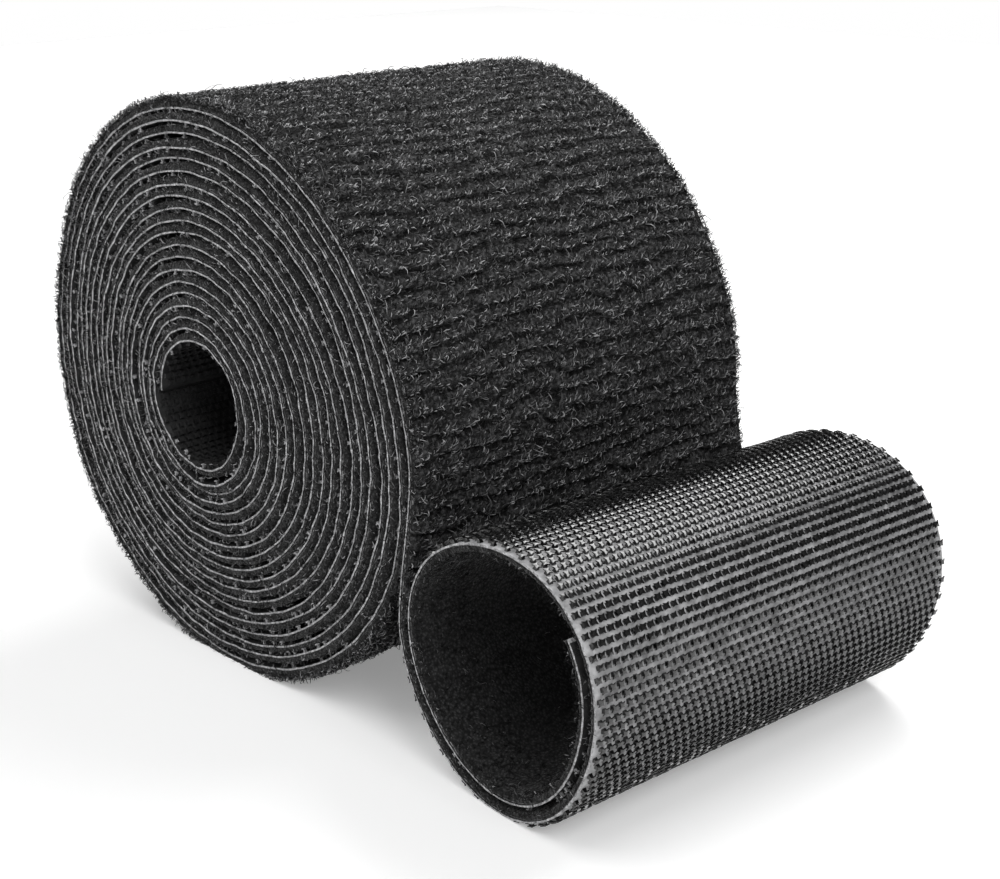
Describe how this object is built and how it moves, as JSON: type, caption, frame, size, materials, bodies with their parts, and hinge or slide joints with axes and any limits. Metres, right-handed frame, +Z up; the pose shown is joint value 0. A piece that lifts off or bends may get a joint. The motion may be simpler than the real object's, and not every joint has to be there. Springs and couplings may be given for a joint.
{
  "type": "hook and loop tape roll",
  "caption": "Coreless roll of double-sided hook and loop tape, loops outside, with a loose end that hangs down and curls into a small coil with its hooks outside.",
  "frame": {"origin": "middle of the bottom of the whole part's box, on the surface that it stands on", "axes": "+Z up, +Y along the roll's axis from its front end face to its back one, +X from the roll towards the small coil"},
  "size_m": [0.094, 0.053, 0.0625],
  "materials": {
    "hook_film": "satin black moulded film with rows of small four-pointed hooks",
    "loop_fabric": "black knitted fabric, brushed to a short curly nap"
  },
  "bodies": {
    "roll": {"roll_hook_film": "hook_film", "roll_loop_fabric": "loop_fabric"},
    "loose_end": {"tail_hook_film": "hook_film", "tail_loop_fabric": "loop_fabric"}
  },
  "joints": [
    {"name": "loose_end_lift", "type": "hinge", "parent": "roll", "child": "loose_end", "pos_m": [0.01631, 0.0015, 0.03045], "axis": [0, -1, 0], "range_deg": [0, 75]}
  ]
}
